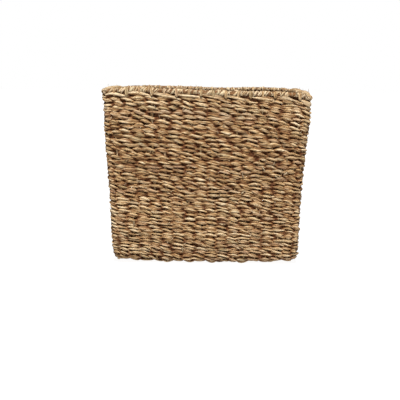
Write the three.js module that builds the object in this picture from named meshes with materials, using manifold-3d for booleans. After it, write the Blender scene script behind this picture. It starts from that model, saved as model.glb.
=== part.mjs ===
// Seagrass storage basket: square, open at the top, with walls that lean outwards.
//
// Sixteen stakes of twisted seagrass run under the base from the front wall to the back wall, sixteen more
// cross above them from the left wall to the right wall, and one stands in each corner. Twined seagrass holds
// them: the base weave, one weave on each wall, and the lashing that binds the rim over a bent wire.
//
// Millimetres, +Z up. The origin is the centre of the face that the basket stands on, and -Y is the front.
// A wall is drawn in plan at the size of its foot, extruded upwards, and then spread to its lean.

import * as THREE from "three";
import { mergeVertices } from "three/addons/utils/BufferGeometryUtils.js";
import Module from "manifold-3d";

// Driving dimensions
const FOOT_WIDTH = 270; // across the outer faces of two opposite walls, at the floor
const RIM_WIDTH = 300; // the same, at the top of the rim
const HEIGHT = 255;
const WALL = 10; // thickness of a wall's weave at its foot
const BASE_THICKNESS = 14;
const BASE_CHAMFER = 7; // where the base turns up into the walls
const CORNER_RADIUS = 13; // outside, at the foot
const STAKES_PER_SIDE = 16;
const STAKE_SPAN = 236; // from a side's first stake to its last, at the foot
const STAKE_RADIUS = 2;
const LOWER_LAYER = 4.7; // height of the front-to-back stakes in the base
const LOWER_BEND = 5.5; // how far from the wall's line those stakes begin to turn up
const WIRE_RADIUS = 2;
const RIM_DEPTH = 10.7; // how far the lashing reaches down from the top
const RIM_BEVEL = 2.5;
const END_CLEARANCE = 1; // between the stakes' cut ends and the wire
const SLOT_CLEARANCE = 1.4; // on each side of the wire, in the hollow of the lashing
const GAP = 0.3; // left between pieces that touch on the real basket

// Fineness of the round shapes
const STAKE_SIDES = 6;
const WIRE_SIDES = 8;
const HALF_CORNER_PARTS = 2; // straight parts in half of a corner's bend
const CORNER_PARTS = 2 * HALF_CORNER_PARTS;

// Worked out from them
const FOOT_HALF = FOOT_WIDTH / 2;
const STAKE_LINE = FOOT_HALF - WALL / 2; // the stakes stand in the middle of the wall
const CORNER_CENTRE = FOOT_HALF - CORNER_RADIUS;
const CHANNEL_RADIUS = (STAKE_RADIUS + GAP) / Math.cos(Math.PI / STAKE_SIDES); // its flats clear the stake
const UPPER_LAYER = LOWER_LAYER + 2 * CHANNEL_RADIUS + GAP;
const UPPER_BEND = BASE_THICKNESS - UPPER_LAYER;
const WALL_FOOT = BASE_THICKNESS + GAP;
const WALL_TOP = HEIGHT - RIM_DEPTH - GAP;
const WIRE_HEIGHT = HEIGHT - RIM_DEPTH / 2;
const STAKE_TOP = WIRE_HEIGHT - WIRE_RADIUS - END_CLEARANCE;
const CORNER_STAKE = CORNER_CENTRE + (STAKE_LINE - CORNER_CENTRE) * Math.SQRT1_2; // its x and y in plan
const SLOT_HALF = WIRE_RADIUS + SLOT_CLEARANCE;
const SLOT_TOP = WIRE_HEIGHT + WIRE_RADIUS + GAP;

const QUARTER = Math.PI / 2;
const MITRE = 225; // degrees from +X to the front left mitre, seen from the corner's centre
const CUTTER_OVERRUN = 1.02; // a cutter is this much longer than what it goes through
const MERGE_WITHIN = 1e-3;
const UP = new THREE.Vector3(0, 0, 1);

const STRAW = new THREE.MeshStandardMaterial({ color: 0xbf9d6c, roughness: 0.85, metalness: 0 });
const PALE_STRAW = new THREE.MeshStandardMaterial({ color: 0xd8bc88, roughness: 0.85, metalness: 0 });
const CORD = new THREE.MeshStandardMaterial({ color: 0xa9824f, roughness: 0.9, metalness: 0 });
const STEEL = new THREE.MeshStandardMaterial({ color: 0x8b8d8f, roughness: 0.45, metalness: 1 });

const wasm = await Module();
wasm.setup();

// How much wider the walls stand at height z than at the floor.
const spread = (z) => 1 + ((RIM_WIDTH / FOOT_WIDTH - 1) * z) / HEIGHT;

// A point of the leaning wall, from its place in plan at the foot.
const onWall = (x, y, z) => new THREE.Vector3(x * spread(z), y * spread(z), z);

const turned = (corners, quarters) => corners.map((p) => p.clone().applyAxisAngle(UP, quarters * QUARTER));

// Points along an arc, both ends included. Angles are in degrees.
function arc(x, y, radius, from, to, parts) {
  return Array.from({ length: parts + 1 }, (_, i) => {
    const angle = THREE.MathUtils.degToRad(from + ((to - from) * i) / parts);
    return new THREE.Vector2(x + radius * Math.cos(angle), y + radius * Math.sin(angle));
  });
}

// Scales a geometry about the Z axis by a factor that depends on height.
function widened(geometry, factor) {
  const p = geometry.getAttribute("position");
  for (let i = 0; i < p.count; i++) {
    const k = factor(p.getZ(i));
    p.setXY(i, p.getX(i) * k, p.getY(i) * k);
  }
  return geometry;
}

// A plan shape extruded from one height to another and spread to the wall's lean.
function leaning(shape, low, high, options = {}) {
  const settings = { depth: high - low, bevelEnabled: false, ...options };
  return widened(new THREE.ExtrudeGeometry(shape, settings).translate(0, 0, low), spread);
}

function solidOf(geometry) {
  const bare = geometry.clone();
  bare.deleteAttribute("normal");
  bare.deleteAttribute("uv");
  const merged = mergeVertices(bare, MERGE_WITHIN);
  return new wasm.Manifold(
    new wasm.Mesh({
      numProp: 3,
      vertProperties: merged.getAttribute("position").array,
      triVerts: new Uint32Array(merged.index.array),
    }),
  );
}

function geometryOf(solid) {
  const mesh = solid.getMesh();
  const geometry = new THREE.BufferGeometry();
  geometry.setAttribute("position", new THREE.BufferAttribute(mesh.vertProperties, 3));
  geometry.setIndex(new THREE.BufferAttribute(mesh.triVerts, 1));
  geometry.computeVertexNormals();
  return geometry;
}

// A path through given corners, with one step of an extrusion for each stretch between two of them.
class CornerPath extends THREE.Curve {
  constructor(corners) {
    super();
    this.corners = corners;
  }
  getPoint(t) {
    const at = t * (this.corners.length - 1);
    const i = Math.min(Math.floor(at + 1e-9), this.corners.length - 2);
    return this.corners[i].clone().lerp(this.corners[i + 1], at - i);
  }
  getPointAt(u) {
    return this.getPoint(u);
  }
  getTangentAt(u) {
    const last = this.corners.length - 1;
    const i = Math.round(u * last);
    const before = this.corners[i].clone().sub(this.corners[Math.max(i - 1, 0)]).normalize();
    const after = this.corners[Math.min(i + 1, last)].clone().sub(this.corners[i]).normalize();
    return before.add(after).normalize();
  }
}

function cord(corners, radius, sides) {
  const section = new THREE.Shape(arc(0, 0, radius, 0, 360 - 360 / sides, sides - 1));
  return new THREE.ExtrudeGeometry(section, {
    steps: corners.length - 1,
    bevelEnabled: false,
    extrudePath: new CornerPath(corners),
  });
}

// ---- Stakes ----

// A stake's places along its side, in plan at the foot.
const stakePlaces = Array.from(
  { length: STAKES_PER_SIDE },
  (_, i) => STAKE_SPAN * (i / (STAKES_PER_SIDE - 1) - 0.5),
);

// The corners of a stake that goes down one wall, under the base and up the opposite wall, running along Y.
function crossingStake(place, layer, bend) {
  const halfRoute = (side) => [
    onWall(place, side * STAKE_LINE, STAKE_TOP),
    onWall(place, side * STAKE_LINE, layer + bend),
    new THREE.Vector3(place, side * (STAKE_LINE - bend), layer),
  ];
  return [...halfRoute(-1), ...halfRoute(1).reverse()];
}

const frontLeftStake = [BASE_CHAMFER, STAKE_TOP].map((z) => onWall(-CORNER_STAKE, -CORNER_STAKE, z));

const stakeRoutes = new Map();
stakePlaces.forEach((place, i) => {
  const number = String(i + 1).padStart(2, "0");
  stakeRoutes.set(`stake_front_back_${number}`, crossingStake(place, LOWER_LAYER, LOWER_BEND));
  stakeRoutes.set(`stake_left_right_${number}`, turned(crossingStake(place, UPPER_LAYER, UPPER_BEND), 1));
});
["front_left", "front_right", "back_right", "back_left"].forEach((corner, quarters) => {
  stakeRoutes.set(`corner_stake_${corner}`, turned(frontLeftStake, quarters));
});

// ---- Weave ----

// The room that a wall leaves for its half of the front left corner stake.
function cornerNotch() {
  const round = arc(-CORNER_STAKE, -CORNER_STAKE, CHANNEL_RADIUS, MITRE + 180, MITRE, CORNER_PARTS);
  return round.map((p) => new THREE.Vector2(p.x + GAP / 2, p.y - GAP / 2));
}

// The plan of the front side between two offsets from the centre, mitred at both corners.
// Notches leave room in the mitres for the corner stakes.
function sideOutline(outer, inner, notch = []) {
  const c = CORNER_CENTRE;
  const outerRadius = outer - c;
  const innerRadius = inner - c;
  const mitre = (radius) => MITRE + THREE.MathUtils.radToDeg(GAP / 2 / radius);
  const left = [
    ...arc(-c, -c, innerRadius, 270, mitre(innerRadius), HALF_CORNER_PARTS),
    ...notch,
    ...arc(-c, -c, outerRadius, mitre(outerRadius), 270, HALF_CORNER_PARTS),
  ];
  const right = left.map((p) => new THREE.Vector2(-p.x, p.y)).reverse();
  return new THREE.Shape([...left, ...right]);
}

function wallWeave() {
  const outline = sideOutline(FOOT_HALF, FOOT_HALF - WALL, cornerNotch());
  const lastAngle = 360 / STAKE_SIDES;
  outline.holes = stakePlaces.map(
    (place) => new THREE.Path(arc(place, -STAKE_LINE, CHANNEL_RADIUS, 360, lastAngle, STAKE_SIDES - 1)),
  );
  return leaning(outline, WALL_FOOT, WALL_TOP);
}

function baseWeave() {
  const c = CORNER_CENTRE;
  const outline = new THREE.Shape([
    ...arc(-c, -c, CORNER_RADIUS, 180, 270, CORNER_PARTS),
    ...arc(c, -c, CORNER_RADIUS, 270, 360, CORNER_PARTS),
    ...arc(c, c, CORNER_RADIUS, 0, 90, CORNER_PARTS),
    ...arc(-c, c, CORNER_RADIUS, 90, 180, CORNER_PARTS),
  ]);
  const slab = new THREE.ExtrudeGeometry(outline, { depth: BASE_THICKNESS, steps: 2, bevelEnabled: false });
  const footFactor = (FOOT_HALF - BASE_CHAMFER) / FOOT_HALF;
  widened(slab, (z) => spread(z) * THREE.MathUtils.lerp(footFactor, 1, Math.min(z / BASE_CHAMFER, 1)));
  const channels = [...stakeRoutes.values()].map((r) => solidOf(cord(r, CHANNEL_RADIUS, STAKE_SIDES)));
  return geometryOf(solidOf(slab).subtract(wasm.Manifold.union(channels)));
}

// One side of the rim's lashing: a bevelled bar, hollow underneath for the wire and the stakes' ends.
function rimLashing() {
  const barFoot = HEIGHT - RIM_DEPTH + RIM_BEVEL;
  const bar = leaning(sideOutline(FOOT_HALF, FOOT_HALF - WALL), barFoot, HEIGHT - RIM_BEVEL, {
    bevelEnabled: true,
    bevelThickness: RIM_BEVEL,
    bevelSize: RIM_BEVEL,
    bevelOffset: -RIM_BEVEL,
    bevelSegments: 1,
  });
  const slot = leaning(sideOutline(STAKE_LINE + SLOT_HALF, STAKE_LINE - SLOT_HALF), WALL_TOP, SLOT_TOP);
  return geometryOf(solidOf(bar).subtract(solidOf(slot.scale(CUTTER_OVERRUN, 1, 1))));
}

// ---- Rim wire ----

// The wire runs round the rim on the stakes' line and its ends butt in the middle of the back.
function rimWire() {
  const c = CORNER_CENTRE;
  const bend = STAKE_LINE - c;
  const plan = [
    new THREE.Vector2(-GAP / 2, STAKE_LINE),
    ...arc(-c, c, bend, 90, 180, CORNER_PARTS),
    ...arc(-c, -c, bend, 180, 270, CORNER_PARTS),
    ...arc(c, -c, bend, 270, 360, CORNER_PARTS),
    ...arc(c, c, bend, 0, 90, CORNER_PARTS),
    new THREE.Vector2(GAP / 2, STAKE_LINE),
  ];
  return cord(plan.map((p) => onWall(p.x, p.y, WIRE_HEIGHT)), WIRE_RADIUS, WIRE_SIDES);
}

// ---- Assembly ----

const basket = new THREE.Group();

function addPiece(name, geometry, material, quarters = 0) {
  const mesh = new THREE.Mesh(geometry, material);
  mesh.name = name;
  mesh.rotation.z = quarters * QUARTER;
  basket.add(mesh);
}

addPiece("base_weave", baseWeave(), STRAW);
["front", "right", "back", "left"].forEach((side, quarters) => {
  addPiece(`${side}_weave`, wallWeave(), STRAW, quarters);
  addPiece(`${side}_rim_lashing`, rimLashing(), PALE_STRAW, quarters);
});
addPiece("rim_wire", rimWire(), STEEL);
for (const [name, route] of stakeRoutes) addPiece(name, cord(route, STAKE_RADIUS, STAKE_SIDES), CORD);

export default basket;
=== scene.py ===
"""Seagrass storage basket: the woven surface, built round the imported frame.

Every strand is a tube whose centre line and cross-section are worked out as whole arrays. The weave is
twined: two strands go round the basket side by side, and swap front and back from each stake to the next.
Metres, +Z up, the front towards -Y, the same frame as the solids.
"""

import math

import bpy
import numpy as np
from bpy.props import FloatProperty, FloatVectorProperty, IntProperty, PointerProperty
from mathutils import Euler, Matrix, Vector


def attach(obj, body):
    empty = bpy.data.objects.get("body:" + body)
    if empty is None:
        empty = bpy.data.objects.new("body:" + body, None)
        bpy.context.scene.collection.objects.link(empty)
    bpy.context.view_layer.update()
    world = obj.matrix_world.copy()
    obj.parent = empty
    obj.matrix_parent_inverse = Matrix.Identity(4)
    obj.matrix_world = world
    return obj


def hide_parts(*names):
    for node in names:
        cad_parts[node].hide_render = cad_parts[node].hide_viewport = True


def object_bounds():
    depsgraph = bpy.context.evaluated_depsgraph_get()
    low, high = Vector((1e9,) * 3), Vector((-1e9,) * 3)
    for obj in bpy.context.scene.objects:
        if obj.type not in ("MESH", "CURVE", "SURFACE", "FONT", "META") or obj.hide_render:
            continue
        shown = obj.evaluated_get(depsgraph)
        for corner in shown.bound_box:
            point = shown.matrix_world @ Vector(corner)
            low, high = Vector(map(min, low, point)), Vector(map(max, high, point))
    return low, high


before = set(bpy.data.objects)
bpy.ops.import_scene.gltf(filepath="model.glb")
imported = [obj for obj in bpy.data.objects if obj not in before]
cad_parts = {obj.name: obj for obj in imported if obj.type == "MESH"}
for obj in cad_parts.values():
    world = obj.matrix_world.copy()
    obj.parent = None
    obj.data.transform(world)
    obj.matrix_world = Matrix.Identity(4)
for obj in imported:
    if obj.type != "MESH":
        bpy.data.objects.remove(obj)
CAD_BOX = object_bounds()

bl_info = {
    "name": "Seagrass Basket",
    "version": (1, 0, 0),
    "blender": (4, 5, 0),
    "location": "View3D > Sidebar > Basket",
    "description": "Builds the twined seagrass strands, stakes and lashed rim of a square storage basket",
    "category": "Add Mesh",
}

MM = 0.001
TURN = 2 * math.pi

# The frame's sizes, taken from its own solids
HEIGHT = CAD_BOX[1].z
STAKES_PER_SIDE = sum(name.startswith("stake_front_back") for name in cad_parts)
LAST_STAKE = STAKES_PER_SIDE - 1
SIDES = ("front", "right", "back", "left")
CORNERS = ("front_left", "front_right", "back_right", "back_left")
WALL_NODES = [f"{side}_weave" for side in SIDES]

# Plan of the stakes' line at the foot: a square with round corners, which the lean widens towards the rim
STAKE_LINE = 130 * MM
BEND_RADIUS = 8 * MM
STRAIGHT_HALF = STAKE_LINE - BEND_RADIUS
QUARTER_LENGTH = 2 * STRAIGHT_HALF + BEND_RADIUS * math.pi / 2
STAKE_SPAN = 236 * MM
FOOT_WIDTH, RIM_WIDTH = 270 * MM, 300 * MM
RIM_GROWTH = RIM_WIDTH / FOOT_WIDTH - 1
CELLS_PER_SIDE = STAKES_PER_SIDE + 1  # a corner stake belongs to each side
CELLS_PER_TURN = 4 * CELLS_PER_SIDE

# How the wall's foot turns in under the base
FOOT_LEVEL = 5.6 * MM
FOOT_BEND = 7.5 * MM
FOOT_ARC = FOOT_BEND * math.pi / 2

# Heights of the base's two layers of stakes, and of the middle of the rim's roll
LOWER_LAYER = 5.0 * MM
UPPER_LAYER = 10.3 * MM
RIM_LEVEL = HEIGHT - 6.2 * MM

# What hands do to the exact shape: how far it moves, and the places and lengths over which it does
PINCH, PINCH_LEVEL, PINCH_REACH = 2.0 * MM, 105 * MM, 48 * MM
CROWN = 1.6 * MM
SIDE_START = 0.6  # share of the way out to a side wall at which that side's bulge begins
LEFT_BULGE = 3.0 * MM
RIGHT_BULGE, RIGHT_BULGE_LEVEL, RIGHT_BULGE_REACH = 2.6 * MM, 212 * MM, 24 * MM
WALL_WAVE = (1.1 * MM, (21, 5, 17), 0.4)  # size, radians in a metre of X, Y and Z, and start
RIM_WAVE = (0.8 * MM, (-37, 31, -29), 2.1)
RIM_HUMP, RIM_HUMP_PLACE, RIM_HUMP_REACH = 2.0 * MM, -95 * MM, 24 * MM
RIM_SINK, RIM_TILT, RIM_TWIST = 0.9 * MM, 1.4 * MM, 0.8 * MM
FRONT_DROOP, BACK_DROOP, DROOP_SKEW = 4.5 * MM, 2.0 * MM, 1.0 * MM
RIM_RIPPLE = 0.8 * MM
SCALLOP, SCALLOP_LENGTH, SCALLOP_REACH = 0.75 * MM, 37 * MM, 14 * MM
CORNER_LIFT, CORNER_LIFT_REACH = 4.4 * MM, 30 * MM


# ---------------------------------------------------------------- sizes and colours that a user may change


def length(name, description, default):
    return FloatProperty(name=name, description=description, default=default, unit="LENGTH", precision=4)


def colour(name, description, default):
    limits = {"min": 0, "max": 1}
    return FloatVectorProperty(name=name, description=description, default=default, subtype="COLOR", **limits)


class WeaveSettings(bpy.types.PropertyGroup):
    rows: IntProperty(name="Rows", description="Turns of the twined pair round the walls", default=41, min=6)
    first_pitch: length("Foot pitch", "Height of a row at the foot", 4.75 * MM)
    last_pitch: length("Rim pitch", "Height of a row under the rim", 6.40 * MM)
    swing: length("Swing", "How far a strand passes in front of and behind the stakes", 2.7 * MM)
    depth: length("Strand depth", "Half of a strand's thickness where it passes a stake", 2.2 * MM)
    seed: IntProperty(name="Seed", description="Which hand made the basket", default=7, min=0)


class ColourSettings(bpy.types.PropertyGroup):
    # Shade is the deep brown of the darkest blades, and also the colour of the painted shade in creases and
    # deep in the weave.
    shade: colour("Shade", "Deep brown of the oldest blades", (0.102, 0.029, 0.007))
    straw: colour("Straw", "Usual colour of the dried grass", (0.475, 0.297, 0.130))
    pale: colour("Pale", "Bleached blades", (0.77, 0.605, 0.385))
    olive: colour("Olive", "Grass that was cut green", (0.30, 0.24, 0.12))
    rose: colour("Rose", "Blades that dried with a pink cast", (0.47, 0.305, 0.205))
    steel: colour("Steel", "The rim wire", (0.42, 0.42, 0.43))


class RimSettings(bpy.types.PropertyGroup):
    wraps: IntProperty(name="Wraps", description="Turns of the lashing along each side", default=46, min=8)
    roll_depth: length("Roll depth", "Half thickness of the lashed roll", 4.0 * MM)
    roll_height: length("Roll height", "Half height of the lashed roll", 2.7 * MM)


class StageSettings(bpy.types.PropertyGroup):
    floor: colour("Floor", "The pale floor", (0.13, 0.13, 0.13))
    key: FloatProperty(name="Key", description="Strength of the light from above", default=5.9, min=0)
    sky: FloatProperty(name="Sky", description="Strength of the light from all round", default=0.15, min=0)


# ---------------------------------------------------------------- the basket's shape


def arc_length(cell):
    """Length along the plan line at the foot, zero in the middle of the front side and rising to the right.
    Cells 0 to 15 are the stakes of a side, 16 is its right-hand corner stake, and 17 starts the next side."""
    side, within = np.divmod(cell, CELLS_PER_SIDE)
    half = STAKE_SPAN / 2
    places = [-half, half, QUARTER_LENGTH / 2, QUARTER_LENGTH - half]
    return side * QUARTER_LENGTH + np.interp(within, [0, LAST_STAKE, LAST_STAKE + 1, LAST_STAKE + 2], places)


def plan(s):
    """Point and outward direction of the plan line at length s. A side is straight, with an eighth of a turn
    of arc at each end: past the straight, the angle is the length left over divided by the bend's radius."""
    side, t = np.divmod(s + QUARTER_LENGTH / 2, QUARTER_LENGTH)
    t = t - QUARTER_LENGTH / 2
    angle = np.maximum(np.abs(t) - STRAIGHT_HALF, 0) / BEND_RADIUS * np.sign(t)
    x = np.clip(t, -STRAIGHT_HALF, STRAIGHT_HALF) + BEND_RADIUS * np.sin(angle)
    y = -(STRAIGHT_HALF + BEND_RADIUS * np.cos(angle))
    turn = side * math.pi / 2
    point = np.stack([x * np.cos(turn) - y * np.sin(turn), x * np.sin(turn) + y * np.cos(turn)], -1)
    out = np.stack([np.sin(angle + turn), -np.cos(angle + turn)], -1)
    return point, out


def spread(z):
    """How much wider the walls stand at height z than at the foot."""
    return 1 + RIM_GROWTH * z / HEIGHT


def wall(s, climb):
    """Point of the wall's middle surface and its outward direction, at length s along the plan line and climb
    along the wall's own profile. The profile starts flat under the base, turns up through a quarter circle,
    and goes on straight: on the quarter circle, the angle from upright is the arc left over its radius."""
    beta = np.clip((FOOT_ARC - climb) / FOOT_BEND, 0, math.pi / 2)
    under = np.minimum(climb, 0)
    z = FOOT_LEVEL + FOOT_BEND * (1 - np.sin(beta)) + np.maximum(climb - FOOT_ARC, 0)
    inset = FOOT_BEND * (1 - np.cos(beta)) - under
    point, out = plan(s)
    place = (point - out * inset[..., None]) * spread(z)[..., None]
    normal = np.concatenate([out * np.cos(beta)[..., None], -np.sin(beta)[..., None]], -1)
    return np.concatenate([place, z[..., None]], -1), normal


def bell(value, middle, reach):
    """1 at the middle, and e to the minus square of the distance over the reach away from it."""
    return np.exp(-(((value - middle) / reach) ** 2))


def wave(points, size, steepness, start):
    """Size times the sine of a weighted sum of X, Y and Z."""
    return size * np.sin(points @ np.array(steepness) + start)


def towards(x):
    """0 up to SIDE_START of the way out to the stakes' line on one side, then rising evenly to 1 at it."""
    return np.clip(x / STAKE_LINE - SIDE_START, 0, 1 - SIDE_START) / (1 - SIDE_START)


def by_hand(points):
    """Takes the exactness out of a shape, the way hands do, by a smooth shift of every point.
    Outwards: the walls pinch in a little below the middle and are crowned at it, the left and right ones
    bulge, and sines of the place add slow waves. Upwards: the rim is humped near its left end, leans down to
    the right, ripples and droops at its corners, and the underside is scalloped and lifts at its corners."""
    x, y, z = points[..., 0], points[..., 1], points[..., 2]
    up = np.clip(z / HEIGHT, 0, 1)
    across = np.maximum(np.abs(x), np.abs(y)) / (STAKE_LINE * spread(z))
    along = np.minimum(np.abs(x), np.abs(y)) / (STAKE_LINE * spread(z))
    on_wall = np.clip((across - 0.8) / 0.15, 0, 1)
    belly = np.sin(math.pi * up)
    pinch = -PINCH * bell(z, PINCH_LEVEL, PINCH_REACH)
    waves = wave(points, *WALL_WAVE) * belly + wave(points, *RIM_WAVE) * up
    crown = CROWN * np.cos(math.pi / 2 * along) * belly**2
    left = LEFT_BULGE * towards(-x) * np.sin(math.pi * up**1.2)
    right = RIGHT_BULGE * towards(x) * bell(z, RIGHT_BULGE_LEVEL, RIGHT_BULGE_REACH)
    away = (pinch + waves + crown + left + right) * on_wall / np.maximum(np.hypot(x, y), 1e-6)

    hump = RIM_HUMP * bell(x, RIM_HUMP_PLACE, RIM_HUMP_REACH) - RIM_SINK
    tilt = (hump - x / STAKE_LINE * (RIM_TILT - RIM_TWIST * y / STAKE_LINE)) * up**3
    side_end = np.clip(along * 2 - 1, 0, 1) ** 1.5
    front_end = np.clip(along * 8 - 7, 0, 1) ** 2
    near_end = np.where(np.abs(x) > np.abs(y), side_end, front_end)
    most = np.where(y > 0, BACK_DROOP, FRONT_DROOP + DROOP_SKEW * x / STAKE_LINE)
    droop = -most * near_end * on_wall * up**5
    ripple = RIM_RIPPLE * np.sin(47 * x + 13) * np.sin(41 * y + 5) * up**4
    scallop = SCALLOP * np.sin(TURN * (x - y) / SCALLOP_LENGTH) * np.exp(-z / SCALLOP_REACH)
    cornering = (np.abs(x * y) / STAKE_LINE**2) ** 2.6
    lift = CORNER_LIFT * cornering * np.exp(-z / CORNER_LIFT_REACH)
    return points + np.stack([x * away, y * away, tilt + droop + ripple + scallop + lift], -1)


# ---------------------------------------------------------------- strands

PLY_SIZE, PLY_OFFSET = 0.57, 0.46  # of a two-ply strand's own size
PLY_LOBES = (0, 0.14)
PLY_CONTRAST = 0.12  # how far the tones of a strand's two plies usually are from its own
PATTERN_SPAN = 40  # a strand's pattern starts somewhere in this many metres of noise


def smooth_between(values, t):
    """Values given at whole numbers, eased between them by a smoothstep of the fraction."""
    below = np.clip(np.floor(t).astype(int), 0, len(values) - 2)
    f = np.clip(t - below, 0, 1)
    f = f * f * (3 - 2 * f)
    return values[below] * (1 - f) + values[below + 1] * f


def runs(rng, count, shortest, longest):
    """A random number for each of count cells that stays the same along a blade of grass, and jumps at the
    next one. Each blade is between shortest and longest cells long."""
    lengths = rng.integers(shortest, longest + 1, count // shortest + 2)
    return np.repeat(rng.random(len(lengths)), lengths)[:count]


def unit(vectors):
    return vectors / np.maximum(np.linalg.norm(vectors, axis=-1, keepdims=True), 1e-9)


def strand_rings(path, facing, half_depth, half_width, roll, points, lobes, ply=None):
    """Rings of a strand that follows path. A ring is an ellipse, half_depth along the facing direction and
    half_width across it, whose radius is 1 + a cos(3 angle + roll) + b cos(2 angle - roll), a and b being
    lobes, so that its blades show and turn round each other as roll grows. With a ply, the ring is just over
    half as big and lies beside the middle, at the angle ply. path is (..., n, 3), the rest (..., n)."""
    along = unit(np.gradient(path, axis=-2))
    out = unit(facing - along * np.sum(facing * along, -1, keepdims=True))
    side = np.cross(along, out)
    angle = TURN * np.arange(points) / points
    roll = roll[..., None]
    radius = 1 + lobes[0] * np.cos(3 * angle + roll) + lobes[1] * np.cos(2 * angle - roll)
    a, b = radius * np.cos(angle), radius * np.sin(angle)
    if ply is not None:
        a = PLY_SIZE * a + PLY_OFFSET * np.cos(ply)[..., None]
        b = PLY_SIZE * b + PLY_OFFSET * np.sin(ply)[..., None]
    a, b = (half_depth[..., None] * a)[..., None], (half_width[..., None] * b)[..., None]
    return path[..., None, :] + a * out[..., None, :] + b * side[..., None, :]


def ply_rings(at, t, k, twist, path, facing, half_depth, half_width, points):
    """Rings and roll of ply k, 0 or 1, of a strand whose plies turn round each other by twist at each stake,
    and a mask for the painted shade of the crease where the plies meet: 1 in the strand's middle, 0 from 0.8
    of its half width outwards."""
    ply = at["roll"] + t * twist + k * math.pi
    roll = ply * 1.3 + t * 0.3
    rings = strand_rings(path, facing, half_depth, half_width, roll, points, PLY_LOBES, ply)
    from_middle = np.linalg.norm(rings - path[:, None], axis=-1) / half_width[:, None]
    return rings, roll, np.clip(1 - from_middle / 0.8, 0, 1)


def ply_tone(at, k):
    """The strand's own tone, a little paler or darker for each of its plies."""
    return at["tone"] + (PLY_CONTRAST if k else -PLY_CONTRAST) * at["apart"]


def fibre_coordinates(rings, path, roll, start):
    """For each vertex, the length along its strand and the point of a unit circle at its angle, turned with
    the blades, so that a pattern on them runs along the blades and closes round the strand."""
    step = np.linalg.norm(np.diff(path, axis=-2), axis=-1)
    zero = np.zeros(step.shape[:-1] + (1,))
    travelled = np.concatenate([zero, np.cumsum(step, -1)], -1) + start
    points = rings.shape[-2]
    angle = TURN * np.arange(points) / points + roll[..., None] / 3
    ones = np.ones_like(angle)
    return np.stack([travelled[..., None] * ones, np.cos(angle), np.sin(angle)], -1)


def finished(rng, rings, path, roll, blade):
    """A strand's rings shaped by hand, its pattern begun at a random place, and its blade values."""
    return by_hand(rings), fibre_coordinates(rings, path, roll, rng.random() * PATTERN_SPAN), blade


def blade_values(tone, hue, buried):
    """Each vertex's tone, its hue, and how deep in the weave it lies from 0 to 1, which the material turns
    into painted bounce light and painted shade, as one vector.
    """
    return np.stack(np.broadcast_arrays(tone, hue, np.clip(buried, 0, 1)), -1)


def stacked(strands):
    """Rings, fibre coordinates and blade values of like strands, each joined into one array."""
    return (np.stack(parts) for parts in zip(*strands))


def tubes(name, rings, fibre, blade):
    """A mesh of closed tubes from rings of shape (tubes, n, points, 3): quads between neighbouring rings, and
    one flat face on each end. fibre and blade are stored as attributes of the same shape."""
    count, n, points, _ = rings.shape
    index = np.arange(count * n * points).reshape(count, n, points)
    here, there = index[:, :-1], index[:, 1:]
    quads = np.stack([here, np.roll(here, -1, 2), np.roll(there, -1, 2), there], -1).reshape(-1, 4)
    caps = np.concatenate([index[:, 0, ::-1], index[:, -1]])
    corners = np.concatenate([quads.ravel(), caps.ravel()])
    sizes = np.concatenate([np.full(len(quads), 4), np.full(len(caps), points)])
    mesh = bpy.data.meshes.new(name)
    mesh.vertices.add(index.size)
    mesh.vertices.foreach_set("co", rings.astype(np.float32).ravel())
    mesh.loops.add(len(corners))
    mesh.loops.foreach_set("vertex_index", corners.astype(np.int32))
    mesh.polygons.add(len(sizes))
    mesh.polygons.foreach_set("loop_start", np.concatenate([[0], np.cumsum(sizes)[:-1]]).astype(np.int32))
    mesh.polygons.foreach_set("use_smooth", sizes == 4)
    for title, values in (("fibre", fibre), ("blade", blade)):
        layer = mesh.attributes.new(title, "FLOAT_VECTOR", "POINT")
        layer.data.foreach_set("vector", values.astype(np.float32).ravel())
    mesh.update(calc_edges=True)
    mesh.validate()
    return mesh


def add_piece(name, mesh, material, nodes):
    piece = bpy.data.objects.new(name, mesh)
    bpy.context.scene.collection.objects.link(piece)
    mesh.materials.append(material)
    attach(piece, "root")
    if nodes:
        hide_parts(*nodes)
    return piece


# ---------------------------------------------------------------- materials

CREASE_WARMTH = (0.87, 0.72, 0.58)  # light that has bounced from blade to blade
WIRE_RUST = (0.20, 0.15, 0.11)


class Value:
    """A shader socket that can be added to, subtracted from and multiplied: each sum is a Math node."""

    def __init__(self, shader, socket):
        self.shader = shader
        self.socket = socket

    def math(self, operation, a, b):
        made = self.shader.node("ShaderNodeMath", {"operation": operation}, {0: a, 1: b})
        return Value(self.shader, made.outputs[0])

    def __add__(self, other):
        return self.math("ADD", self, other)

    def __sub__(self, other):
        return self.math("SUBTRACT", self, other)

    def __rsub__(self, other):
        return self.math("SUBTRACT", other, self)

    def __mul__(self, other):
        return self.math("MULTIPLY", self, other)

    __radd__ = __add__
    __rmul__ = __mul__


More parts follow.
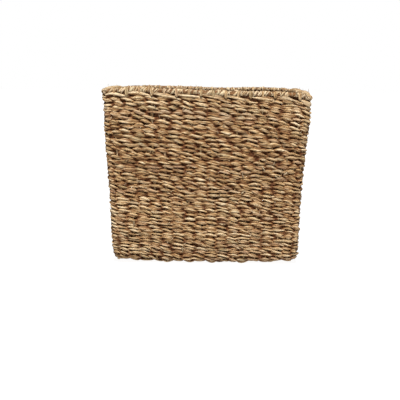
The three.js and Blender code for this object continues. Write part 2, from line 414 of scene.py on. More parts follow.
class Shader:
    """A node material with a Principled surface."""

    def __init__(self, name):
        self.material = bpy.data.materials.new(name)
        self.material.use_nodes = True
        self.tree = self.material.node_tree
        self.tree.nodes.clear()
        self.surface = self.node("ShaderNodeBsdfPrincipled", {}, {})
        self.node("ShaderNodeOutputMaterial", {}, {"Surface": self.surface.outputs[0]})

    def node(self, kind, settings, inputs):
        made = self.tree.nodes.new(kind)
        for key, value in settings.items():
            setattr(made, key, value)
        for key, value in inputs.items():
            self.feed(made.inputs[key], value)
        return made

    def feed(self, socket, value):
        if isinstance(value, Value):
            value = value.socket
        if isinstance(value, bpy.types.NodeSocket):
            self.tree.links.new(value, socket)
        else:
            socket.default_value = value

    def attribute(self, name):
        """The three numbers of a vector attribute of the mesh."""
        stored = self.node("ShaderNodeAttribute", {"attribute_name": name}, {}).outputs["Vector"]
        parted = self.node("ShaderNodeSeparateXYZ", {}, {0: stored})
        return [Value(self, socket) for socket in parted.outputs]

    def noise(self, vector, scale, detail=2.0, roughness=0.5):
        inputs = {"Vector": vector, "Scale": scale, "Detail": detail, "Roughness": roughness}
        return Value(self, self.node("ShaderNodeTexNoise", {}, inputs).outputs[0])

    def grain(self, fibre, per_metre, round_ring, detail=2.0, roughness=0.5):
        """Noise that follows a strand: per_metre spots in a metre of its length, and round_ring across it."""
        along, ring_x, ring_y = fibre
        parts = {0: along * per_metre, 1: ring_x * round_ring, 2: ring_y * round_ring}
        return self.noise(self.node("ShaderNodeCombineXYZ", {}, parts).outputs[0], 1.0, detail, roughness)

    def ramp(self, value, low, high):
        """Value from 0 at low to 1 at high, and held past them."""
        settings = {"interpolation_type": "SMOOTHSTEP"}
        made = self.node("ShaderNodeMapRange", settings, {"Value": value, "From Min": low, "From Max": high})
        return Value(self, made.outputs[0])

    def mix(self, factor, a, b, blend="MIX"):
        settings = {"data_type": "RGBA", "blend_type": blend, "clamp_factor": True}
        return self.node("ShaderNodeMix", settings, {0: factor, 6: a, 7: b}).outputs[2]

    def set(self, **inputs):
        for key, value in inputs.items():
            self.feed(self.surface.inputs[key.replace("_", " ")], value)

    def bump(self, height, distance):
        made = self.node("ShaderNodeBump", {}, {"Height": height, "Distance": distance})
        self.feed(self.surface.inputs["Normal"], made.outputs[0])


def rgba(values):
    return (*values, 1.0)


def seagrass(name, lift=0.0):
    """Dried grass: brown to straw to pale by the blade's own tone, some of it olive or rose, with long
    streaks and fine ribs that follow the blades. lift makes it paler. The cosine of three times the ring's
    angle, 4 x cubed - 3 x, gives three blades and creases, and the creases get painted shade. The buried
    value paints bounce light as a warm tint where it is middling, and painted shade towards the shade colour
    where it lies deep in the weave."""
    c = bpy.context.scene.basket_colours
    s = Shader(name)
    fibre = s.attribute("fibre")
    tone, hue, buried = s.attribute("blade")
    streak = s.grain(fibre, 90.0, 1.2, 3.0, 0.6)
    wrinkle = s.grain(fibre, 260.0, 1.4)
    rib = s.grain(fibre, 110.0, 5.0, 2.0, 0.6)
    blotch = s.grain(fibre, 260.0, 1.5)
    ring_x = fibre[1]
    lobe = 4.0 * ring_x * ring_x * ring_x - 3.0 * ring_x
    level = tone + (streak - 0.5) * 2.0 + (rib - 0.5) * 1.9 + (blotch - 0.5) * 0.9 + lift
    body = s.mix(s.ramp(level, -0.1, 0.5), rgba(c.shade), rgba(c.straw))
    body = s.mix(s.ramp(level, 0.45, 1.1), body, rgba(c.pale))
    tinted = s.mix(s.ramp(hue, 0.66, 0.95), body, s.mix(0.36, body, rgba(c.rose)))
    tinted = s.mix(s.ramp(hue, 0.25, 0.05), tinted, s.mix(0.40, tinted, rgba(c.olive)))
    # Painted shade: the creases between the blades turn towards the shade colour.
    painted_crease_shade = s.mix(s.ramp(lobe, -0.35, -1.0) * 0.55, tinted, rgba(c.shade))
    # Painted bounce light: partly buried parts are multiplied by the warm tint.
    warmed = s.mix(s.ramp(buried, 0.25, 0.75), painted_crease_shade, rgba(CREASE_WARMTH), "MULTIPLY")
    # Painted shade: parts that lie deep in the weave turn towards the shade colour.
    painted_shade = s.mix(s.ramp(buried, 0.40, 1.05) * 0.95, warmed, rgba(c.shade))
    s.set(Base_Color=painted_shade, Roughness=streak * -0.25 + 0.72, Specular_IOR_Level=0.2)
    s.bump(lobe * 0.2 + rib * 0.5 + streak * 0.8 + wrinkle * 1.5, 1.7 * MM)
    return s.material


def wire_steel():
    """Drawn wire: fine scratches along it and a few dull spots."""
    s = Shader("rim_wire_steel")
    fibre = s.attribute("fibre")
    scratch = s.grain(fibre, 12.0, 9.0)
    dull = s.grain(fibre, 300.0, 1.0, 3.0)
    steel = bpy.context.scene.basket_colours.steel
    s.set(Base_Color=s.mix(s.ramp(dull, 0.55, 0.75), rgba(steel), rgba(WIRE_RUST)))
    s.set(Roughness=scratch * 0.3 + 0.3, Metallic=1.0)
    s.bump(scratch, 0.05 * MM)
    return s.material


# ---------------------------------------------------------------- the weave of the walls

SPIRAL_START = 3 * CELLS_PER_SIDE - 0.5  # just round the back left corner, before the left side's first stake
WALL_FINENESS = (7, 7)  # rings from stake to stake, and points in a ring
WALL_TWIST = 0.7
BANDS = 7  # pieces that the walls' rows are shared between, which keeps each one small
STAGGER, STAGGER_LENGTH = 0.22, 2.7  # how far stitches stray along a row, and over how many stitches
STRAYS_PER_ROW = 30  # enough for one every STAGGER_LENGTH stitches
# Tone by height on the walls: a little paler at the foot, darker at middle heights, and paler under the rim.
HEIGHT_TONE_LEVELS = (0, 0.09, 0.12, 0.17, 0.245)
HEIGHT_TONE_SHIFTS = (0.04, 0.02, -0.10, -0.08, 0.14)

# The rows' slow rise and fall: size, waves round the basket, drift from row to row, and start
WANDERS = (
    (0.9 * MM, 3, 0.31, 0.5),
    (0.7 * MM, 7, -0.43, 2.2),
    (0.5 * MM, 13, 0.6, 4.0),
    (0.35 * MM, 29, 1.1, 1.0),
)


def strand_variation(rng, count):
    """The random numbers of one strand, one for each stitch: lengths in millimetres, shares, or angles."""
    tone = 0.45 * runs(rng, count, 3, 12) + 0.55 * rng.random(count)
    return {
        "tone": 0.31 + 0.53 * tone,
        "apart": rng.standard_normal(count),
        "hue": np.clip(0.7 * runs(rng, count, 4, 18) + 0.3 * rng.random(count), 0, 1),
        "slope": 0.3 + 1.1 * rng.random(count),
        "shift": 0.30 * rng.standard_normal(count),
        "along": 0.15 * rng.standard_normal(count),
        "proud": 0.45 * rng.standard_normal(count),
        "fat": 0.78 + 0.44 * rng.random(count),
        "thick": 0.85 + 0.3 * rng.random(count),
        "roll": 1.1 * np.cumsum(rng.standard_normal(count)),
    }


def twined(phase, at, pitch, swing, depth):
    """What a strand of a twined pair does at each phase, which is pi from one stake to the next: how far out
    it swings, a cosine flattened so that it stays in front of a stake; how far it dips, a share of the pitch
    by the sine, so that stitches slope down to the right; and its half width and half depth, wide and flat
    where it passes a stake or runs behind, narrow and deep where it comes out in front of its partner."""
    front = np.tanh(0.9 * np.cos(phase)) / np.tanh(0.9)
    passing = np.abs(front)
    out = swing * (front + 0.35 * (1 - passing)) + at["proud"] * MM * np.maximum(front, 0)
    dip = 0.10 * pitch * front - (0.5 * MM + 0.10 * pitch) * np.sin(phase) * at["slope"]
    behind = np.clip(0.8 - 2 * front, 0, 1)
    half_width = pitch * (0.28 + 0.29 * at["fat"] * passing**1.3 + 0.36 * behind)
    half_depth = depth * (1.05 - 0.05 * passing) * at["thick"]
    return front, out, dip, half_width, half_depth


def wander(cell, turns):
    """The slow rise and fall of the rows: a sum of sines round the basket that drift from row to row."""
    angle = TURN * cell / CELLS_PER_TURN
    return sum(size * np.sin(times * angle + drift * turns + start) for size, times, drift, start in WANDERS)


def wall_strand(rng, t, opposite, stakes_per_stitch, climb, pitch, swing, depth, random_at, twist):
    """One strand of a pair that goes round the walls, as the rings and attributes of its two plies. t counts
    stakes from the spiral's start. opposite is 1 for the strand that starts behind. A vertex's buried value,
    which the material turns into painted shade, grows with how far it lies behind the strand's face, with the
    cube of how near it is to the strand's upper or lower edge, which paints dark lines between the rows, and
    with the crease where its two plies meet."""
    cell = t + SPIRAL_START
    turns = t / CELLS_PER_TURN
    at = {key: smooth_between(values, (t + 0.5) / stakes_per_stitch) for key, values in random_at.items()}
    phase = math.pi * ((cell + at["along"]) / stakes_per_stitch + opposite)
    room = pitch + (wander(cell, turns + 1) - wander(cell, turns - 1)) / 2
    front, reach, dip, half_width, half_depth = twined(phase, at, room, swing, depth)
    place = arc_length(np.mod(cell, CELLS_PER_TURN))
    surface, out = wall(place, climb + dip + wander(cell, turns) + at["shift"] * MM)
    path = surface + out * reach[:, None]
    points = WALL_FINENESS[1]
    made = []
    for k in range(2):
        rings, roll, ply_crease_shade = ply_rings(at, t, k, twist, path, out, half_depth, half_width, points)
        beside = rings - surface[:, None]
        outward = np.sum(beside * out[:, None], -1)
        lateral = np.linalg.norm(beside - outward[..., None] * out[:, None], axis=-1) / half_width[:, None]
        outward = np.where((front > 0)[:, None], outward, -outward) / (swing + depth)
        # Painted shade: edge darkens the strand's upper and lower edges into dark lines between rows, most
        # where strands cross.
        edge = (1.3 - np.abs(front))[:, None] * np.clip(lateral, 0, 1.2) ** 3
        buried = 1 - outward + 0.9 * edge + 0.5 * ply_crease_shade
        tone = ply_tone(at, k) + np.interp(surface[:, 2], HEIGHT_TONE_LEVELS, HEIGHT_TONE_SHIFTS)
        made.append(finished(rng, rings, path, roll, blade_values(tone[:, None], at["hue"][:, None], buried)))
    return made


class BASKET_OT_wall_weave(bpy.types.Operator):
    """Twine the pair of strands round the stakes, from the base to the rim"""

    bl_idname = "basket.wall_weave"
    bl_label = "Wall weave"

    def execute(self, context):
        weave = context.scene.basket_weave
        rng = np.random.default_rng(weave.seed)
        material = seagrass("wall_seagrass")
        pair = [strand_variation(rng, weave.rows * CELLS_PER_TURN + 2) for _ in range(2)]
        stitch = np.arange(len(pair[0]["along"]))
        strays = STAGGER * rng.standard_normal(weave.rows * STRAYS_PER_ROW)
        stagger = smooth_between(strays, stitch / STAGGER_LENGTH)
        stagger = stagger * np.minimum(0.4 + 0.9 * stitch / len(stitch), 1)  # the foot's rows are the neatest
        for strand in pair:
            strand["along"] += stagger
        limits = np.linspace(0, weave.rows, BANDS + 1).round().astype(int)
        growth = weave.last_pitch - weave.first_pitch
        for low, high in zip(limits[:-1], limits[1:]):
            t = np.linspace(low, high, (high - low) * CELLS_PER_TURN * WALL_FINENESS[0] + 1) * CELLS_PER_TURN
            left = 1 - t / CELLS_PER_TURN / weave.rows  # share of the rows still to come
            pitch = weave.last_pitch - growth * left**2
            pitch_sum = weave.last_pitch * (1 - left) - growth / 3 * (1 - left**3)
            climb = pitch_sum * weave.rows
            made = []
            for k in range(2):
                made += wall_strand(rng, t, k, 1, climb, pitch, weave.swing, weave.depth, pair[k], WALL_TWIST)
            name = f"wall_strands_rows_{low + 1:02d}_to_{high:02d}"
            add_piece(name, tubes(name, *stacked(made)), material, WALL_NODES)
        return {"FINISHED"}


# ---------------------------------------------------------------- the base

BASE_FINENESS = (5, 6)  # rings from stake to stake, and points in a ring
BASE_ROWS = 47
BASE_PITCH = 5.28 * MM
BASE_SWING, BASE_DEPTH = 2.1 * MM, 1.35 * MM
BASE_TWIST = 0.8
BASE_OVERHANG = 0.35  # of the way to the next stake, past the last one
BASE_WANDER = 0.35 * MM
BASE_LAYERS = (("base_under_rows", LOWER_LAYER, False), ("base_inside_rows", UPPER_LAYER, True))


def base_panel(rng, layer, turned):
    """Rows of twined pairs over one layer of the base's stakes, side by side. A row runs along X, or along Y
    when turned, and its strands swing above and below the stakes as the walls' strands do in and out."""
    t = np.linspace(-BASE_OVERHANG, LAST_STAKE + BASE_OVERHANG, STAKES_PER_SIDE * BASE_FINENESS[0])
    made = []
    for row in range(BASE_ROWS):
        for opposite in range(2):
            random_at = strand_variation(rng, STAKES_PER_SIDE + 3)
            at = {key: smooth_between(values, t + 1) for key, values in random_at.items()}
            phase = math.pi * (t + row + at["along"] + opposite)
            _, reach, dip, half_width, half_depth = twined(phase, at, BASE_PITCH, BASE_SWING, BASE_DEPTH)
            x = STAKE_SPAN * (t / LAST_STAKE - 0.5)
            wave_across = BASE_WANDER * at["slope"] * np.sin(0.7 * t + row * 0.3)
            y = (row - (BASE_ROWS - 1) / 2) * BASE_PITCH + dip + wave_across
            path = np.stack([-y if turned else x, x if turned else y, layer - reach], -1)
            down = np.broadcast_to([0.0, 0.0, -1.0], path.shape)
            for k in range(2):
                shape = (path, down, half_depth, half_width, BASE_FINENESS[1])
                rings, roll, ply_crease_shade = ply_rings(at, t, k, BASE_TWIST, *shape)
                outward = np.abs(rings[..., 2] - layer) / (BASE_SWING + BASE_DEPTH)
                tone = ply_tone(at, k)[:, None] - 0.05
                # Painted shade: buried grows towards the stakes' layer, deep in the weave, and where the
                # plies meet.
                blade = blade_values(tone, at["hue"][:, None], 0.85 - outward + 0.4 * ply_crease_shade)
                made.append(finished(rng, rings, path, roll, blade))
    return stacked(made)


class BASKET_OT_base_weave(bpy.types.Operator):
    """Twine rows over both layers of stakes in the base"""

    bl_idname = "basket.base_weave"
    bl_label = "Base weave"

    def execute(self, context):
        rng = np.random.default_rng(context.scene.basket_weave.seed + 1)
        material = seagrass("base_seagrass")
        for name, layer, turned in BASE_LAYERS:
            mesh = tubes(name, *base_panel(rng, layer, turned))
            add_piece(name, mesh, material, ["base_weave"])
        return {"FINISHED"}


# ---------------------------------------------------------------- stakes

STAKE_RADIUS = 1.7 * MM
STAKE_LAY, STAKE_SWELL = 5 * MM, 7 * MM  # length of a radian of its twist, and of its swelling and thinning
FOLD_DROP = 9 * MM  # how far below the roll's middle a stake leaves the wall
FOLD_REACH, FOLD_RISE = 4.5 * MM, 2.6 * MM  # the half ellipse over the rim's roll
TAIL, TAIL_OUTSIDE = 4 * MM, 2 * MM  # a tail outside is longer by the second, and one inside shorter
TAIL_CHANCE = 2.5 * MM  # the most that chance adds to a tail
FLARE = 0.6 * MM  # how far a tail's tip stands off the roll
FLOOR_STEPS, WALL_STEPS = 8, 23
CORNER_RINGS = 40
CORNER_DROP = 4 * MM  # how far below the roll's middle a corner stake stops
STAKE_POINTS = 8
OPENING, TAPER = 17 * MM, 4 * MM  # how far from an end a stake's cord opens, and how far it thins

# Title, height in the base, radius of the bend into the wall, and whether it runs from left to right
STAKE_LAYERS = (("front_back", LOWER_LAYER, 5 * MM, False), ("left_right", UPPER_LAYER, 3.5 * MM, True))


def stake_profile(layer, bend, fold, tail):
    """Half of a stake in its own upright plane, as distances out from the basket's middle and heights: along
    the base, up through a quarter circle, up the wall, and over the wire by half an ellipse, outwards where
    fold is 1 and inwards where it is -1, with a tail that hangs down the wall."""
    beta = np.linspace(0, math.pi / 2, 5)
    over = np.linspace(math.pi, 0, 7)
    hang = np.linspace(0, 1, 4)[1:]
    out = np.concatenate([
        np.linspace(0, STAKE_LINE - bend, FLOOR_STEPS, endpoint=False),
        STAKE_LINE - bend * (1 - np.sin(beta)),
        np.full(WALL_STEPS, STAKE_LINE),
        STAKE_LINE + fold * FOLD_REACH * np.cos(over),
        STAKE_LINE + fold * (FOLD_REACH + FLARE * hang),
    ])
    up = np.concatenate([
        np.full(FLOOR_STEPS, layer),
        layer + bend * (1 - np.cos(beta)),
        np.linspace(layer + bend, RIM_LEVEL - FOLD_DROP, WALL_STEPS + 1)[1:],
        RIM_LEVEL + FOLD_RISE * np.sin(over),
        RIM_LEVEL - tail * hang,
    ])
    return out, up


def crossing_stake(rng, number, layer, bend, turned):
    """Path and facing of a stake that goes up one wall, under the base and up the opposite wall. Stakes are
    folded outwards and inwards by turns, and an outward tail is the longer."""
    fold = 1 if number % 2 else -1
    tail = TAIL + TAIL_OUTSIDE * fold + TAIL_CHANCE * rng.random()
    out, up = stake_profile(layer, bend, fold, tail)
    out, up = np.concatenate([-out[::-1], out[1:]]), np.concatenate([up[::-1], up[1:]])
    wide = spread(np.where(up > layer + bend, up, 0))
    place = STAKE_SPAN * (number / LAST_STAKE - 0.5)
    path = np.stack([place * wide, out * wide, up], -1)
    facing = np.broadcast_to([1.0, 0.0, 0.0], path.shape)
    if turned:
        path, facing = path[:, [1, 0, 2]] * [-1, 1, 1], facing[:, [1, 0, 2]]
    return path, facing


def corner_stake(quarter):
    """Path and facing of the stake that stands in the corner before a quarter of the plan line."""
    height = np.linspace(FOOT_LEVEL, RIM_LEVEL - CORNER_DROP, CORNER_RINGS)
    point, out = plan(np.full(CORNER_RINGS, (quarter - 0.5) * QUARTER_LENGTH))
    path = np.concatenate([point * spread(height)[:, None], height[:, None]], -1)
    facing = np.concatenate([out, np.zeros((CORNER_RINGS, 1))], -1)
    return path, facing


def stake_mesh(rng, name, path, facing, leaf):
    """A twisted cord along path. Towards its two ends it opens by leaf into a flat bunch, and thins."""
    step = np.linalg.norm(np.diff(path, axis=0), axis=-1)
    travelled = np.concatenate([[0], np.cumsum(step)])
    from_end = np.minimum(travelled, travelled[-1] - travelled)
    open_up = np.clip(1 - from_end / OPENING, 0, 1) * leaf
    taper = np.clip(from_end / TAPER, 0, 1) ** 0.5 * 0.75 + 0.25
    roll = travelled / STAKE_LAY
    radius = STAKE_RADIUS * (1 + 0.05 * np.sin(travelled / STAKE_SWELL)) * taper
    deep, wide = radius * (1 + 0.5 * open_up), radius * (1 - 0.4 * open_up)
    rings = strand_rings(path, facing, deep, wide, roll, STAKE_POINTS, (0.08, 0.12))
    tone = 0.35 + 0.3 * rng.random() + 0.1 * open_up[:, None]
    # Painted bounce light: buried gives the cord a faint warm tint along its length, fading where it opens.
    buried = np.broadcast_to(0.35 - 0.35 * np.minimum(open_up, 1)[:, None], rings.shape[:-1])
    shaped, fibre, blade = finished(rng, rings, path, roll, blade_values(tone, rng.random(), buried))
    return tubes(name, shaped[None], fibre[None], blade[None])


class BASKET_OT_stakes(bpy.types.Operator):
    """Lay the crossing stakes under the weave and stand a stake in each corner"""

    bl_idname = "basket.stakes"
    bl_label = "Stakes"

    def execute(self, context):
        rng = np.random.default_rng(context.scene.basket_weave.seed + 2)
        material = seagrass("stake_seagrass")
        for title, layer, bend, turned in STAKE_LAYERS:
            for number in range(STAKES_PER_SIDE):
                name = f"stake_{title}_{number + 1:02d}"
                path, facing = crossing_stake(rng, number, layer, bend, turned)
                mesh = stake_mesh(rng, f"{name}_cord", path, facing, rng.uniform(0.2, 1.2))
                add_piece(f"{name}_cord", mesh, material, [name])
        for quarter, corner in enumerate(CORNERS):
            name = f"corner_stake_{corner}"
            mesh = stake_mesh(rng, f"{name}_cord", *corner_stake(quarter), 0.0)
            add_piece(f"{name}_cord", mesh, material, [name])
        return {"FINISHED"}


# ---------------------------------------------------------------- the rim

RIM_ROW_PITCH, RIM_ROW_SWING, RIM_ROW_DEPTH = 6.4 * MM, 3.2 * MM, 2.1 * MM
RIM_ROW_DROP = 5.5 * MM  # below the middle of the rim's roll
RIM_ROW_CLIMB, RIM_ROW_PASSES = 3.4 * MM, 0.62  # rise in its one turn, and the share at which the drop holds
RIM_ROW_TWIST = 0.35
BUNDLE_STRANDS, BUNDLE_RINGS = 10, 60
BUNDLE_RADIUS, BUNDLE_SPIRAL = 1.15 * MM, 5  # the spiral is radians along a side
BUNDLE_INSET = np.array([1.2 * MM, 0.6 * MM])  # from the roll's half thickness and half height
WINDINGS = ((0.0, 0.22, 1.1), (0.45, -0.22, 0.6))  # start and backward lean in wraps, and scale
WINDING_DEPTH, WINDING_WIDTH = 0.9 * MM, 1.5 * MM
RINGS_PER_WRAP = 12
RIM_POINTS = 7
WIRE_RADIUS, WIRE_GAP = 2 * MM, 0.6 * MM
WIRE_RINGS, WIRE_POINTS = 257, 12


class BASKET_OT_rim_row(bpy.types.Operator):
    """Lock the walls with a thicker pair whose stitches pass two stakes at a time"""

    bl_idname = "basket.rim_row"
    bl_label = "Rim row"

    def execute(self, context):
        rng = np.random.default_rng(context.scene.basket_weave.seed + 3)
        t = np.linspace(0, CELLS_PER_TURN, CELLS_PER_TURN * WALL_FINENESS[0] + 1)
        level = RIM_LEVEL - RIM_ROW_DROP - FOOT_LEVEL - FOOT_BEND + FOOT_ARC
        climb = level + RIM_ROW_CLIMB * (t / CELLS_PER_TURN - RIM_ROW_PASSES)
        pitch = np.full_like(t, RIM_ROW_PITCH)
        size = (climb, pitch, RIM_ROW_SWING, RIM_ROW_DEPTH)
        made = []
        for opposite in range(2):
            random_at = strand_variation(rng, CELLS_PER_TURN // 2 + 3)
            random_at["slope"] *= 1.25
            made += wall_strand(rng, t, opposite, 2, *size, random_at, RIM_ROW_TWIST)
        mesh = tubes("rim_row_strands", *stacked(made))
        add_piece("rim_row_strands", mesh, seagrass("rim_row_seagrass", 0.2), WALL_NODES)
        return {"FINISHED"}


def rim_place(s, away):
    """Points of the rim's roll at length s along the plan line, away outwards and upwards from its middle."""
    point, out = plan(s)
    wide = spread(np.full_like(s, RIM_LEVEL))
    path = np.concatenate([point * wide[..., None] + out * away[..., :1], RIM_LEVEL + away[..., 1:]], -1)
    return path, out


def rim_bundle(rng, quarter, rim):
    """The grass that lies along one side of the rim under its lashing: strands at even angles round the wire,
    which turn slowly round it along the side."""
    share = np.linspace(0, 1, BUNDLE_RINGS)
    s = (quarter - 0.5 + share) * QUARTER_LENGTH * np.ones((BUNDLE_STRANDS, 1))
    angle = TURN * np.arange(BUNDLE_STRANDS)[:, None] / BUNDLE_STRANDS + BUNDLE_SPIRAL * share
    angle = angle + 0.12 * rng.standard_normal((BUNDLE_STRANDS, 1))
    spoke = np.stack([np.cos(angle), np.sin(angle)], -1)
    path, out = rim_place(s, spoke * ([rim.roll_depth, rim.roll_height] - BUNDLE_INSET))
    facing = np.concatenate([out * spoke[..., :1], spoke[..., 1:]], -1)
    thick = np.full_like(s, BUNDLE_RADIUS)
    roll = 3 * angle
    rings = strand_rings(path, facing, thick, thick * 1.15, roll, RIM_POINTS, (0, 0.15))
    tone = 0.05 + 0.3 * rng.random((BUNDLE_STRANDS, 1, 1))
    # Painted shade and painted bounce warmth over the whole bundle, which lies under the wraps.
    blade = blade_values(tone, rng.random((BUNDLE_STRANDS, 1, 1)), np.full(rings.shape[:-1], 0.75))
    return finished(rng, rings, path, roll, blade)


def rim_winding(rng, quarter, rim, start, lean, scale):
    """One strand wound round a side's bundle, leaning back by lean of a wrap at the top. Its place along the
    rim, thickness, tone, hue and distance from the roll's middle change from one half wrap to the next."""
    turns = np.linspace(0, rim.wraps, rim.wraps * RINGS_PER_WRAP + 1)
    half_wraps = turns * 2
    count = rim.wraps * 2 + 3
    jitter = smooth_between(0.32 * rng.standard_normal(count), half_wraps)
    jitter = jitter * np.sin(math.pi * turns / rim.wraps) ** 0.2
    thick = scale * smooth_between(0.6 + 0.7 * rng.random(count), half_wraps)
    tone = smooth_between(0.15 + 0.8 * rng.random(count), half_wraps)[:, None]
    hue = smooth_between(rng.random(count), half_wraps)[:, None]
    lift = smooth_between(1 + 0.13 * rng.standard_normal(count), half_wraps)
    lift = lift + smooth_between(0.10 * rng.standard_normal(count), turns / 2.5)
    angle = TURN * (turns + start)
    s = (quarter - 0.5 + (turns + jitter + lean * np.sin(angle)) / rim.wraps) * QUARTER_LENGTH
    spoke = np.stack([np.cos(angle), np.sin(angle)], -1)
    path, out = rim_place(s, spoke * lift[:, None] * [rim.roll_depth, rim.roll_height])
    facing = np.concatenate([out * spoke[:, :1], spoke[:, 1:]], -1)
    roll = turns * 1.7 + rng.random()
    size = (WINDING_DEPTH * thick, WINDING_WIDTH * thick)
    rings = strand_rings(path, facing, *size, roll, RIM_POINTS, (0, 0.18))
    inward = np.sum((rings - path[:, None]) * facing[:, None], -1) / (2 * MM)
    # Painted shade on the side of each wrap that faces the bundle.
    return finished(rng, rings, path, roll, blade_values(tone, hue, 0.12 - 1.3 * inward))


class BASKET_OT_rim_lashing(bpy.types.Operator):
    """Lay a bundle along each side of the rim, round the wire, and wind two strands round it"""

    bl_idname = "basket.rim_lashing"
    bl_label = "Rim lashing"

    def execute(self, context):
        rim = context.scene.basket_rim
        rng = np.random.default_rng(context.scene.basket_weave.seed + 4)
        material = seagrass("lashing_seagrass", 0.5)
        for quarter, side in enumerate(SIDES):
            nodes = [f"{side}_rim_lashing"]
            name = f"{side}_rim_bundle"
            add_piece(name, tubes(name, *rim_bundle(rng, quarter, rim)), material, nodes)
            name = f"{side}_rim_wraps"
            windings = [rim_winding(rng, quarter, rim, *way) for way in WINDINGS]
            add_piece(name, tubes(name, *stacked(windings)), material, nodes)
        return {"FINISHED"}


class BASKET_OT_rim_wire(bpy.types.Operator):
    """Bend the wire that the rim is lashed to, with its ends butting in the middle of the back"""

    bl_idname = "basket.rim_wire"
    bl_label = "Rim wire"

    def execute(self, context):
        end = 2 * QUARTER_LENGTH - WIRE_GAP / 2
        path, out = rim_place(np.linspace(-end, end, WIRE_RINGS), np.zeros((WIRE_RINGS, 2)))
        facing = np.concatenate([out, np.zeros((WIRE_RINGS, 1))], -1)
        radius = np.full(WIRE_RINGS, WIRE_RADIUS)
        roll = np.zeros(WIRE_RINGS)
        rings = strand_rings(path, facing, radius, radius, roll, WIRE_POINTS, (0, 0))
        fibre = fibre_coordinates(rings, path, roll, 0)
        blade = blade_values(0.5, 0.5, np.zeros(rings.shape[:-1]))
        mesh = tubes("rim_wire_ring", by_hand(rings)[None], fibre[None], blade[None])
        add_piece("rim_wire_ring", mesh, wire_steel(), ["rim_wire"])
        return {"FINISHED"}


# ---------------------------------------------------------------- loose ends

LOOSE_COUNT = 460
LOOSE_RINGS, LOOSE_POINTS = 6, 5
LOOSE_AT_RIM = 0.06  # share of them that stand up from the rim
LOOSE_BELOW_RIM = 20 * MM  # how much shorter than the rim's level the band is in which the others stand
LOOSE_SEAT = 4.6 * MM  # how far out from the wall's middle surface a fibre starts
LOOSE_DEPTH, LOOSE_WIDTH = 0.18 * MM, 0.55 * MM


class BASKET_OT_loose_fibres(bpy.types.Operator):
    """Let a few cut and frayed blade ends stand out of the weave"""

    bl_idname = "basket.loose_fibres"
    bl_label = "Loose fibres"

    def execute(self, context):
        rng = np.random.default_rng(context.scene.basket_weave.seed + 5)
        count, one_each = LOOSE_COUNT, (LOOSE_COUNT, 1)
        t = np.linspace(0, 1, LOOSE_RINGS)
        cell = rng.integers(0, CELLS_PER_TURN, count) + 0.5 + 0.2 * rng.standard_normal(count)
        climb = FOOT_ARC + (RIM_LEVEL - LOOSE_BELOW_RIM) * rng.random(count)
        at_rim = rng.random(count) < LOOSE_AT_RIM
        root, out = wall(arc_length(cell), np.where(at_rim, RIM_LEVEL - 1 * MM, climb))
        sideways = np.stack([-out[:, 1], out[:, 0], np.zeros(count)], -1)
        heading = sideways * rng.normal(0, 1.0, one_each) + [0, 0, 1] * rng.normal(0.1, 0.8, one_each)
        heading = heading + [0, 0, 2] * at_rim[:, None]
        heading = unit(heading) * (rng.uniform(2, 8, one_each) * MM)
        rise = rng.uniform(0.3, 1.6, one_each) * MM
        reach = LOOSE_SEAT + rise[:, None] * (t[:, None] * (1.6 - t[:, None]))
        path = root[:, None] + heading[:, None] * t[:, None] + out[:, None] * reach
        broad = np.where(rng.random(one_each) < 0.35, 2.4, 1.0)
        thin = (1 - 0.7 * t) * broad * rng.uniform(0.6, 1.2, one_each)
        facing = np.broadcast_to(out[:, None], path.shape)
        roll = np.zeros((count, LOOSE_RINGS))
        size = (LOOSE_DEPTH * thin, LOOSE_WIDTH * thin)
        rings = strand_rings(path, facing, *size, roll, LOOSE_POINTS, (0, 0))
        tone = rng.uniform(0.2, 1.2, (count, 1, 1))
        blade = blade_values(tone, rng.random((count, 1, 1)), np.zeros(rings.shape[:-1]))
        mesh = tubes("loose_fibres", by_hand(rings), fibre_coordinates(rings, path, roll, 0), blade)
        add_piece("loose_fibres", mesh, seagrass("fibre_seagrass", 0.2), [])
        return {"FINISHED"}


# ---------------------------------------------------------------- stage

FLOOR_RADIUS, FLOOR_POINTS = 12, 96
FLOOR_FLECK = (0.15, 0.15, 0.15)
FLOOR_GLOW = 0.94
WHITE = (1, 1, 1, 1)
KEY_TILT, KEY_SOFTNESS = math.radians(31), math.radians(7)
CAMERA_LENS, SENSOR_WIDTH = 95.5, 36
CAMERA_PLACE = (-0.0087, -1.65, 0.280)
CAMERA_DIP, CAMERA_ROLL = math.radians(7.01), math.radians(0.6)


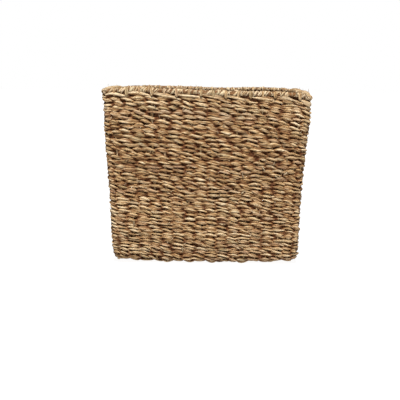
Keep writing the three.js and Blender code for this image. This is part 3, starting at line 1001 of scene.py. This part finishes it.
class BASKET_OT_stage(bpy.types.Operator):
    """Set the pale floor, the soft lights and the camera"""

    bl_idname = "basket.stage"
    bl_label = "Stage"

    def execute(self, context):
        settings = context.scene.basket_stage
        self.lay_floor(context, settings.floor)
        self.hang_lights(context, settings)
        self.set_camera(context)
        context.scene.view_settings.view_transform = "Standard"
        return {"FINISHED"}

    def lay_floor(self, context, grey):
        angle = TURN * np.arange(FLOOR_POINTS) / FLOOR_POINTS
        edge = FLOOR_RADIUS * np.stack([np.cos(angle), np.sin(angle), 0 * angle], -1)
        mesh = bpy.data.meshes.new("floor")
        mesh.from_pydata(edge.tolist(), [], [range(FLOOR_POINTS)])
        floor = bpy.data.objects.new("floor", mesh)
        context.scene.collection.objects.link(floor)
        s = Shader("floor_paper")
        place = s.node("ShaderNodeTexCoord", {}, {}).outputs["Object"]
        fleck = s.noise(place, 60.0, 3.0)
        s.set(Base_Color=s.mix(fleck, rgba(grey), rgba(FLOOR_FLECK)), Roughness=0.9)
        s.set(Emission_Color=WHITE, Emission_Strength=FLOOR_GLOW)
        mesh.materials.append(s.material)

    def hang_lights(self, context, settings):
        sun = bpy.data.lights.new("key", "SUN")
        sun.energy, sun.angle = settings.key, KEY_SOFTNESS
        lamp = bpy.data.objects.new("key", sun)
        lamp.rotation_euler = Euler((KEY_TILT, 0, 0))
        context.scene.collection.objects.link(lamp)

        world = bpy.data.worlds.new("studio")
        context.scene.world = world
        world.use_nodes = True
        tree = world.node_tree
        tree.nodes.clear()
        path = tree.nodes.new("ShaderNodeLightPath")
        seen, cast = tree.nodes.new("ShaderNodeBackground"), tree.nodes.new("ShaderNodeBackground")
        cast.inputs["Strength"].default_value = settings.sky
        seen.inputs["Color"].default_value = cast.inputs["Color"].default_value = WHITE
        both, out = tree.nodes.new("ShaderNodeMixShader"), tree.nodes.new("ShaderNodeOutputWorld")
        tree.links.new(path.outputs["Is Camera Ray"], both.inputs[0])
        tree.links.new(cast.outputs[0], both.inputs[1])
        tree.links.new(seen.outputs[0], both.inputs[2])
        tree.links.new(both.outputs[0], out.inputs[0])

    def set_camera(self, context):
        data = bpy.data.cameras.new("camera")
        data.lens, data.sensor_width = CAMERA_LENS, SENSOR_WIDTH
        camera = bpy.data.objects.new("camera", data)
        camera.location = CAMERA_PLACE
        camera.rotation_mode = "QUATERNION"
        level = Euler((math.radians(90) - CAMERA_DIP, 0, 0)).to_quaternion()
        camera.rotation_quaternion = level @ Euler((0, 0, CAMERA_ROLL)).to_quaternion()
        context.scene.collection.objects.link(camera)
        context.scene.camera = camera


PROPERTIES = {
    "basket_weave": WeaveSettings,
    "basket_colours": ColourSettings,
    "basket_rim": RimSettings,
    "basket_stage": StageSettings,
}
OPERATORS = (
    BASKET_OT_stage,
    BASKET_OT_stakes,
    BASKET_OT_base_weave,
    BASKET_OT_wall_weave,
    BASKET_OT_rim_row,
    BASKET_OT_rim_wire,
    BASKET_OT_rim_lashing,
    BASKET_OT_loose_fibres,
)


class BASKET_PT_panel(bpy.types.Panel):
    bl_label = "Seagrass basket"
    bl_space_type = "VIEW_3D"
    bl_region_type = "UI"
    bl_category = "Basket"

    def draw(self, context):
        for operator in OPERATORS:
            self.layout.operator(operator.bl_idname)


def register():
    for cls in (*PROPERTIES.values(), *OPERATORS, BASKET_PT_panel):
        bpy.utils.register_class(cls)
    for name, group in PROPERTIES.items():
        setattr(bpy.types.Scene, name, PointerProperty(type=group))


def unregister():
    for name in PROPERTIES:
        delattr(bpy.types.Scene, name)
    for cls in reversed((*PROPERTIES.values(), *OPERATORS, BASKET_PT_panel)):
        bpy.utils.unregister_class(cls)


def main():
    register()
    bpy.ops.basket.stage()
    bpy.ops.basket.stakes()
    bpy.ops.basket.base_weave()
    bpy.ops.basket.wall_weave()
    bpy.ops.basket.rim_row()
    bpy.ops.basket.rim_wire()
    bpy.ops.basket.rim_lashing()
    bpy.ops.basket.loose_fibres()


if __name__ == "__main__":
    main()
